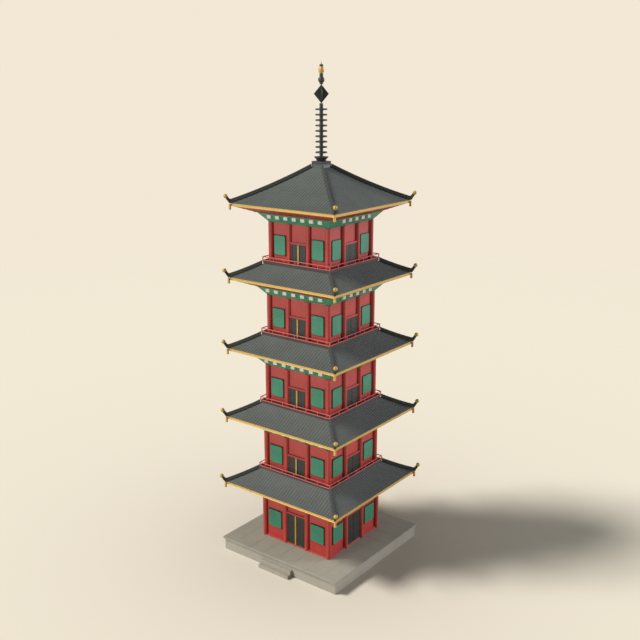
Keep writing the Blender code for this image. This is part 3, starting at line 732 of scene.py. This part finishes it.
def add_bearing_block(bm, x, front, centre, turn):
    """A bearing block: square above, with a small taper at its foot."""
    half_w, half_h = BLOCK_WIDTH / 2, BLOCK_HEIGHT / 2
    taper = 0.012
    shoulder = centre - half_h * 0.7
    levels = ((centre - half_h, taper), (shoulder, 0.0), (centre + half_h, 0.0))
    loops = []
    for z, inset in levels:
        left, right = x - half_w + inset, x + half_w - inset
        near, far = front + inset, front + BLOCK_DEPTH
        loops.append([turn @ Vector(p) for p in ((left, near, z), (right, near, z), (right, far, z), (left, far, z))])
    add_sweep(bm, loops)


# Eaves
RAFTER_WIDTH = 0.075
RAFTER_DEPTH = 0.035
RAFTER_PITCH = 0.27


def make_rafters(storey):
    """Rafters laid on the sloping soffit, from the top of the brackets out to the fascia."""
    beam = storey.wall + SOFFIT_REACH
    outer = storey.edge - FASCIA_THICKNESS - GAP
    inner_z = storey.eave_top - SOFFIT_DROP
    outer_z = storey.eave_top - FASCIA_HEIGHT
    slope = (outer_z - inner_z) / (outer - beam)
    bm = bmesh.new()
    count = 2 * int(outer / RAFTER_PITCH) + 1
    for side in SIDES:
        turn = quarter_turn(side)
        for i in range(count):
            x = (i - (count - 1) / 2) * RAFTER_PITCH
            start = max(beam, abs(x) + RAFTER_WIDTH)
            if start > outer - RAFTER_WIDTH:
                continue
            loops = []
            for y in (start, outer):
                z = inner_z + slope * (y - beam)
                rise = RAFTER_DEPTH * (outer - y) / (outer - beam)
                loops.append([turn @ Vector((x + dx, -y, z + dz)) for dx, dz in (
                    (-RAFTER_WIDTH / 2, 0.01), (RAFTER_WIDTH / 2, 0.01), (RAFTER_WIDTH / 2, -rise),
                    (-RAFTER_WIDTH / 2, -rise))])
            add_sweep(bm, loops)
    make_piece(f"rafters_{storey.number}", bm, finishes["soffit"], smooth=0.0)


# Roofs

def rim_half(storey):
    """Half width of the flat top of a roof, under the next balcony or the spire."""
    if storey.number == STOREYS:
        return APEX_HALF
    return storeys[storey.number].balcony_half - UNDER_BALCONY


def course_line(storey, outer, inner):
    """The tile surface from the eave up, stepped at each course."""
    points = []
    count = round((outer - inner) / TILE_COURSE)
    step = (outer - inner) / count
    for i in range(count):
        low, high = outer - step * i, outer - step * (i + 1)
        points.append((low, storey.roof_z(low) + COURSE_STEP))
        points.append((high, storey.roof_z(high)))
    return points


def make_roof_shell(storey):
    """Pan tiles in stepped courses over a closed shell."""
    edge, rim = storey.edge, rim_half(storey)
    if storey.number == STOREYS:
        hole = APEX_HOLE
    else:
        hole = storeys[storey.number].wall - ROOF_INSIDE_WALL
    top = course_line(storey, edge - 0.01, rim)
    start = edge - FASCIA_THICKNESS - GAP
    steps = 8
    under = [start + (rim - start) * i / steps for i in range(steps + 1)]
    profile = [(edge - 0.01, storey.eave_top + GAP)] + top + [(hole, storey.roof_z(rim))]
    profile.append((hole, storey.roof_z(rim) - SHELL_THICKNESS))
    profile += [(half, storey.roof_z(half) - SHELL_THICKNESS) for half in reversed(under)]
    profile.append((start, storey.eave_top + GAP))
    bm = bmesh.new()
    add_square_ring(bm, profile)
    make_piece(f"roof_tiles_{storey.number}", bm, finishes["tile"],
               replaces=[f"roof_{storey.number}"], smooth=20.0)


def make_rolls(storey):
    """Round cover tiles that run down each roof face, from the rim or the hip to the eave."""
    edge, rim = storey.edge, rim_half(storey)
    bm = bmesh.new()
    count = 2 * int((edge - 0.15) / TILE_PITCH) + 1
    for side in SIDES:
        turn = quarter_turn(side)
        for i in range(count):
            x = (i - (count - 1) / 2) * TILE_PITCH
            end = max(rim, abs(x) + 0.02)
            if end > edge - 0.1:
                continue
            steps = max(2, round((edge - end) / ROLL_STEP))
            loops = []
            for j in range(steps + 1):
                half = edge - (edge - end) * j / steps
                z = storey.roof_z(half)
                section = arc_points((x, z), (ROLL_RADIUS, ROLL_RISE + COURSE_STEP), 0.0, 180.0, ROLL_SIDES)
                section = [(x + ROLL_RADIUS, z - 0.02)] + section + [(x - ROLL_RADIUS, z - 0.02)]
                loops.append([turn @ Vector((sx, -half, sz)) for sx, sz in section])
            add_sweep(bm, loops)
    make_piece(f"cover_tiles_{storey.number}", bm, finishes["tile"],
               replaces=[f"roof_{storey.number}"], smooth=50.0)


# Hip ridges: sections in shares of half width and of height
RIDGE_SECTION = ((-1.0, 0.0), (-1.0, 0.5), (-0.7, 0.56), (-0.62, 0.78), (-0.35, 0.94), (0.0, 1.0), (0.35, 0.94),
                 (0.62, 0.78), (0.7, 0.56), (1.0, 0.5), (1.0, 0.0))
RIDGE_HEIGHT = 0.29
RIDGE_SINK = 0.06
RIDGE_HALF_WIDTH = 0.085
RIDGE_STEP = 0.25
RIDGE_FOOT = 0.012
# The upturned end: (distance out from the eave, bottom, top, half thickness)
TIP_STATIONS = ((0.03, 0.014, 0.312, 0.085), (0.06, 0.022, 0.335, 0.085), (0.09, 0.045, 0.385, 0.085),
                (0.12, 0.10, 0.445, 0.082), (0.16, 0.185, 0.515, 0.076), (0.20, 0.27, 0.555, 0.070),
                (0.25, 0.375, 0.575, 0.062))
FINIAL_OUT = 0.25
FINIAL_RISE = 0.51
FINIAL_RADIUS = 0.15


def ridge_stations(storey):
    """Stations down a hip: (half width, bottom, top, half thickness), from the rim to the tip."""
    edge, eave = storey.edge, storey.eave_top
    start = APEX_HALF if storey.number == STOREYS else rim_half(storey) + UNDER_BALCONY
    steps = round((edge - start) / RIDGE_STEP)
    stations = []
    for i in range(steps + 1):
        half = start + (edge - start) * i / steps
        z = storey.roof_z(half)
        stations.append((half, max(z - RIDGE_SINK, eave + RIDGE_FOOT), z + RIDGE_HEIGHT, RIDGE_HALF_WIDTH))
    stations += [(edge + out, eave + bottom, eave + top, width) for out, bottom, top, width in TIP_STATIONS]
    return stations


def make_ridges(storey):
    bm, balls = bmesh.new(), bmesh.new()
    for corner in range(4):
        turn = Matrix.Rotation(radians(45 + 90 * corner), 4, "Z")
        loops = []
        for half, bottom, top, width in ridge_stations(storey):
            loops.append([turn @ Vector((half * sqrt(2.0), u * width, bottom + v * (top - bottom)))
                          for u, v in RIDGE_SECTION])
        add_sweep(bm, loops)
        centre = turn @ Vector(((storey.edge + FINIAL_OUT) * sqrt(2.0), 0.0, storey.eave_top + FINIAL_RISE))
        bmesh.ops.create_uvsphere(balls, u_segments=24, v_segments=14, radius=FINIAL_RADIUS,
                                  matrix=Matrix.Translation(centre))
    make_piece(f"hip_ridges_{storey.number}", bm, finishes["ridge"],
               replaces=[f"roof_{storey.number}"], smooth=40.0)
    make_piece(f"finials_{storey.number}", balls, finishes["old_gold"],
               replaces=[f"roof_{storey.number}"], smooth=60.0)


# Gilt fascia and bells
BELL_OUT = 0.05
BELL_RADIUS = 0.095
BELL_TOP = 0.03
BELL_BOTTOM = 0.45
BEAD = 0.035
BEAD_RELIEF = 0.012


def make_fascia(storey):
    edge, top = storey.edge, storey.eave_top
    bottom = top - FASCIA_HEIGHT
    face = edge - BEAD_RELIEF
    bm = bmesh.new()
    add_square_ring(bm, [(edge - FASCIA_THICKNESS, bottom), (face, bottom), (edge, bottom + 0.01),
                         (edge, bottom + BEAD), (face, bottom + BEAD + 0.01), (face, top - BEAD - 0.01),
                         (edge, top - BEAD), (edge, top - 0.01), (face, top), (edge - FASCIA_THICKNESS, top)])
    make_piece(f"fascia_{storey.number}", bm, finishes["gold"],
               replaces=[f"eave_trim_{storey.number}"], smooth=20.0)
    bells = bmesh.new()
    reach = edge + BELL_OUT
    for x in (-reach, reach):
        for y in (-reach, reach):
            add_bell(bells, x, y, top)
    make_piece(f"bells_{storey.number}", bells, finishes["gold"],
               replaces=[f"eave_trim_{storey.number}"], smooth=50.0)


def add_bell(bm, x, y, top):
    """A long wind bell with a rounded crown, a rim and a clapper."""
    place = Matrix.Translation((x, y, top))
    lip = -BELL_BOTTOM + 0.03
    body, wall = BELL_RADIUS - 0.01, 0.012
    profile = [(0.0, -BELL_TOP), (0.05, -BELL_TOP - 0.006), (0.075, -BELL_TOP - 0.03), (body, -BELL_TOP - 0.07),
               (body, lip + 0.05), (BELL_RADIUS, lip + 0.03), (BELL_RADIUS, lip), (BELL_RADIUS - wall, lip),
               (body - wall, lip + 0.05), (body - wall, -BELL_TOP - 0.08), (0.0, -BELL_TOP - 0.08)]
    add_turned(bm, profile, 20, place)
    clapper = [(0.0, -0.12), (0.008, -0.12), (0.008, lip), (0.03, lip - 0.01), (0.03, -BELL_BOTTOM), (0.0, -BELL_BOTTOM)]
    add_turned(bm, clapper, 12, place)


# Spire
MAST_RADIUS = 0.127
RING_COUNT = 9
FIRST_RING = 29.896
LAST_RING = 32.791
RING_RADIUS = 0.417
RING_TUBE = 0.052
SPOKES = 8
TURN_SIDES = 40
FLAME_REACH = 0.52
FLAME_THICKNESS = 0.06
FLAME_ROD = 0.045
BALL_CENTRE = 34.731
JEWEL_BOTTOM = 35.147
JEWEL_TOP = 35.606
JEWEL_CAP_TOP = 35.737


def ellipse(centre, radii, steps):
    return arc_points(centre, radii, 0.0, 360.0 - 360.0 / steps, steps - 1)


def make_spire():
    low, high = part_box("spire_base")
    half, bottom, top = high.x, low.z, high.z
    bm = bmesh.new()
    rim, neck = 0.06, 0.012
    add_square_ring(bm, [(half, bottom), (half, bottom + rim), (half - neck, bottom + rim + 0.02),
                         (half - neck, top - rim - 0.02), (half, top - rim), (half, top), (APEX_HOLE, top),
                         (APEX_HOLE, bottom)])
    make_piece("spire_box", bm, finishes["lead"], replaces=["spire_base"], easing=0.008)

    low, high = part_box("spire_bowl")
    bm = bmesh.new()
    foot = 0.30
    profile = [(0.0, low.z), (foot, low.z), (foot + 0.02, low.z + 0.03), (foot + 0.05, low.z + 0.12),
               (high.x - 0.03, high.z - 0.05), (high.x, high.z - 0.03), (high.x, high.z - 0.008),
               (high.x - 0.03, high.z), (0.0, high.z)]
    add_turned(bm, profile, TURN_SIDES)
    make_piece("spire_flare", bm, finishes["bronze"], replaces=["spire_bowl"])

    low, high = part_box("spire_rings")
    mast, rings = bmesh.new(), bmesh.new()
    add_turned(mast, [(0.0, low.z), (MAST_RADIUS, low.z), (MAST_RADIUS, high.z), (0.0, high.z)], TURN_SIDES)
    pitch = (LAST_RING - FIRST_RING) / (RING_COUNT - 1)
    for i in range(RING_COUNT):
        z = FIRST_RING + pitch * i
        add_turned(rings, ellipse((RING_RADIUS - RING_TUBE, z), (RING_TUBE, RING_TUBE), 12), TURN_SIDES)
        collar = MAST_RADIUS + 0.02
        add_turned(mast, [(0.0, z - 0.045), (collar, z - 0.045), (collar, z + 0.045), (0.0, z + 0.045)], TURN_SIDES)
        for spoke in range(SPOKES):
            turn = Matrix.Rotation(2 * pi * spoke / SPOKES, 4, "Z")
            add_box(rings, (MAST_RADIUS, -0.012, z - 0.02), (RING_RADIUS - RING_TUBE, 0.012, z + 0.02), turn)
    make_piece("spire_mast", mast, finishes["bronze"], replaces=["spire_rings"])
    make_piece("spire_hoops", rings, finishes["bronze"], replaces=["spire_rings"], smooth=50.0)

    make_spire_top()


def make_spire_top():
    low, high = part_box("spire_flame")
    bm = bmesh.new()
    middle = (low.z + high.z) / 2
    for angle in (45, 135):
        turn = Matrix.Rotation(radians(angle), 4, "Z")
        outline = ((FLAME_REACH, middle), (0.0, high.z - 0.01), (-FLAME_REACH, middle), (0.0, low.z + 0.01))
        add_sweep(bm, [[turn @ Vector((x, side * FLAME_THICKNESS / 2, z)) for x, z in outline] for side in (-1, 1)])
    make_piece("spire_diamond", bm, finishes["bronze"], replaces=["spire_flame"], easing=0.01)
    bm = bmesh.new()
    add_turned(bm, [(0.0, low.z), (FLAME_ROD, low.z), (FLAME_ROD, high.z), (0.0, high.z)], TURN_SIDES)
    make_piece("spire_diamond_rod", bm, finishes["bronze"], replaces=["spire_flame"])

    low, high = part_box("spire_ball")
    bm = bmesh.new()
    radius = high.x
    neck = sqrt(radius ** 2 - MAST_RADIUS ** 2)
    centre = BALL_CENTRE
    ball = arc_points((0.0, centre), (radius, radius), -55.0, 55.0, 16)
    profile = [(0.0, low.z), (MAST_RADIUS, low.z), (MAST_RADIUS, centre - neck)] + ball
    profile += [(MAST_RADIUS, centre + neck), (MAST_RADIUS, high.z), (0.0, high.z)]
    add_turned(bm, profile, TURN_SIDES)
    make_piece("spire_orb", bm, finishes["bronze"], replaces=["spire_ball"])

    low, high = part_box("spire_jewel")
    bm = bmesh.new()
    radius = high.x
    middle = (JEWEL_BOTTOM + JEWEL_TOP) / 2
    body = arc_points((0.0, middle), (radius, (JEWEL_TOP - JEWEL_BOTTOM) / 2 + 0.05), -50.0, 50.0, 14)
    tip = [(0.05, JEWEL_CAP_TOP), (0.035, JEWEL_CAP_TOP + 0.08), (0.012, high.z - 0.01), (0.0, high.z)]
    add_turned(bm, [(0.0, low.z)] + body + [(0.05, JEWEL_TOP)] + tip, TURN_SIDES)
    make_piece("spire_gem", bm, finishes["gold"], replaces=["spire_jewel"])
    bm = bmesh.new()
    cap = 0.128
    add_turned(bm, [(0.0, JEWEL_TOP - 0.01), (cap - 0.02, JEWEL_TOP - 0.01), (cap, JEWEL_TOP + 0.02),
                    (cap, JEWEL_CAP_TOP - 0.02), (cap - 0.02, JEWEL_CAP_TOP), (0.0, JEWEL_CAP_TOP)], TURN_SIDES)
    make_piece("spire_gem_cap", bm, finishes["bronze"], replaces=["spire_jewel"])


def dress_frame():
    """Give the CAD nodes that stay their finish."""
    for storey in storeys:
        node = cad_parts[f"eaves_{storey.number}"]
        node.data.materials.clear()
        node.data.materials.append(finishes["soffit"])


# Studio
BACKGROUND = (0.887, 0.807, 0.665)
# Lights: (bearing from +X towards +Y, height, strength, angular size, colour, whether it lights the floor)
LIGHTS = {
    "key": (222.0, 50.0, 3.18, 16.0, (1.0, 0.935, 0.87), True),
    "left": (250.0, 8.0, 1.89, 30.0, (0.94, 1.0, 0.99), False),
    "right": (50.0, 15.0, 2.85, 30.0, (0.944, 0.935, 1.0), False),
}
WORLD_LIGHT = 0.268
WORLD_COLOUR = (1.0, 0.99, 0.95)
FLOOR_SIZE = 600.0
FLOOR_COLOUR = (0.86, 0.83, 0.725)
# Painted shade on the floor: darker by this share at the tower's axis, fading over this reach
FLOOR_PAINTED_SHADE = 0.42
FLOOR_PAINTED_SHADE_REACH = 9.7
FADE_START = 60.0
FADE_END = 140.0


def make_floor():
    bm = bmesh.new()
    bmesh.ops.create_grid(bm, x_segments=2, y_segments=2, size=FLOOR_SIZE)
    mesh = bpy.data.meshes.new("studio_floor")
    bm.to_mesh(mesh)
    bm.free()
    floor = bpy.data.objects.new("studio_floor", mesh)
    floor.location.z = -0.002
    bpy.context.scene.collection.objects.link(floor)
    made, tree, shader = start_material("studio_floor", 0.95)
    shader.inputs["Specular IOR Level"].default_value = 0.1
    place = tree.nodes.new("ShaderNodeTexCoord")
    length = tree.nodes.new("ShaderNodeVectorMath")
    length.operation = "LENGTH"
    near = tree.nodes.new("ShaderNodeMath")
    near.operation = "MULTIPLY"
    near.inputs[1].default_value = -1.0 / FLOOR_PAINTED_SHADE_REACH
    decay = tree.nodes.new("ShaderNodeMath")
    decay.operation = "EXPONENT"
    tree.links.new(length.outputs["Value"], near.inputs[0])
    tree.links.new(near.outputs["Value"], decay.inputs[0])
    # Painted shade: the floor darkens towards the tower's axis
    tones = ramp(tree, decay.outputs["Value"], [(0.0, FLOOR_COLOUR), (1.0, shade(FLOOR_COLOUR, 1.0 - FLOOR_PAINTED_SHADE))])
    tree.links.new(tones, shader.inputs["Base Color"])
    fade = tree.nodes.new("ShaderNodeMapRange")
    fade.interpolation_type = "SMOOTHSTEP"
    fade.inputs["From Min"].default_value = FADE_START
    fade.inputs["From Max"].default_value = FADE_END
    clear = tree.nodes.new("ShaderNodeBsdfTransparent")
    mix = tree.nodes.new("ShaderNodeMixShader")
    tree.links.new(place.outputs["Object"], length.inputs[0])
    tree.links.new(length.outputs["Value"], fade.inputs["Value"])
    tree.links.new(fade.outputs["Result"], mix.inputs["Fac"])
    tree.links.new(shader.outputs["BSDF"], mix.inputs[1])
    tree.links.new(clear.outputs["BSDF"], mix.inputs[2])
    tree.links.new(mix.outputs["Shader"], tree.nodes["Material Output"].inputs["Surface"])
    mesh.materials.append(made)
    return floor


def make_world():
    """A cream backdrop for the camera and a weaker, more neutral light for the surfaces."""
    world = bpy.data.worlds.new("studio")
    bpy.context.scene.world = world
    world.use_nodes = True
    tree = world.node_tree
    tree.nodes.clear()
    path = tree.nodes.new("ShaderNodeLightPath")
    seen, light = tree.nodes.new("ShaderNodeBackground"), tree.nodes.new("ShaderNodeBackground")
    for node, colour, strength in ((seen, BACKGROUND, 1.0), (light, WORLD_COLOUR, WORLD_LIGHT)):
        node.inputs["Color"].default_value = (*colour, 1.0)
        node.inputs["Strength"].default_value = strength
    mix = tree.nodes.new("ShaderNodeMixShader")
    output = tree.nodes.new("ShaderNodeOutputWorld")
    tree.links.new(path.outputs["Is Camera Ray"], mix.inputs["Fac"])
    tree.links.new(light.outputs["Background"], mix.inputs[1])
    tree.links.new(seen.outputs["Background"], mix.inputs[2])
    tree.links.new(mix.outputs["Shader"], output.inputs["Surface"])


def add_sun(name, bearing, height, strength, angle, colour, shaded):
    """A distant soft light from a bearing (degrees from +X towards +Y) and a height, kept off a shaded collection."""
    data = bpy.data.lights.new(name, "SUN")
    data.energy = strength
    data.angle = radians(angle)
    data.color = colour
    lamp = bpy.data.objects.new(name, data)
    towards = Vector((cos(radians(bearing)) * cos(radians(height)), sin(radians(bearing)) * cos(radians(height)),
                      sin(radians(height))))
    lamp.rotation_mode = "QUATERNION"
    lamp.rotation_quaternion = towards.to_track_quat("Z", "Y")
    lamp.location = towards * 60.0
    lamp.light_linking.receiver_collection = shaded
    bpy.context.scene.collection.objects.link(lamp)


def make_camera():
    data = bpy.data.cameras.new("photo_view")
    data.lens = VIEW_LENS
    data.sensor_width = VIEW_SENSOR
    data.clip_end = 2000.0
    camera = bpy.data.objects.new("photo_view", data)
    bearing, pitch = radians(VIEW_BEARING), radians(VIEW_PITCH)
    back = Vector((sin(bearing) * cos(pitch), -cos(bearing) * cos(pitch), sin(pitch)))
    camera.location = Vector(VIEW_TARGET) + back * VIEW_DISTANCE
    camera.rotation_mode = "QUATERNION"
    camera.rotation_quaternion = back.to_track_quat("Z", "Y")
    bpy.context.scene.collection.objects.link(camera)
    bpy.context.scene.camera = camera


def make_studio():
    bpy.context.scene.view_settings.view_transform = "Standard"
    shaded = bpy.data.collections.new("kept_off_the_low_lights")
    shaded.objects.link(make_floor())
    shaded.collection_objects[0].light_linking.link_state = "EXCLUDE"
    make_world()
    for name, (*settings, on_floor) in LIGHTS.items():
        add_sun(name, *settings, None if on_floor else shaded)
    make_camera()


def make_pagoda():
    dress_frame()
    make_platform()
    make_steps()
    ground_walls = ["ground_frame", "front_wall_left", "front_wall_right", "front_wall_over_door", "right_wall_front",
                    "right_wall_back", "right_wall_over_door", "back_wall", "left_wall"]
    for storey in storeys:
        number = storey.number
        walls = ground_walls if number == 1 else [f"storey_{number}_walls"]
        windows = ["ground_windows"] if number == 1 else [f"storey_{number}_windows"]
        make_walls(storey, walls)
        make_windows(storey, windows)
        make_fixed_doors(storey, ("back", "left") if number == 1 else tuple(SIDES), windows)
        if number > 1:
            make_balcony(storey, storeys[number - 2])
        make_brackets(storey)
        make_rafters(storey)
        make_roof_shell(storey)
        make_rolls(storey)
        make_ridges(storey)
        make_fascia(storey)
    make_ground_beams()
    make_moving_doors()
    make_spire()


make_pagoda()
make_studio()
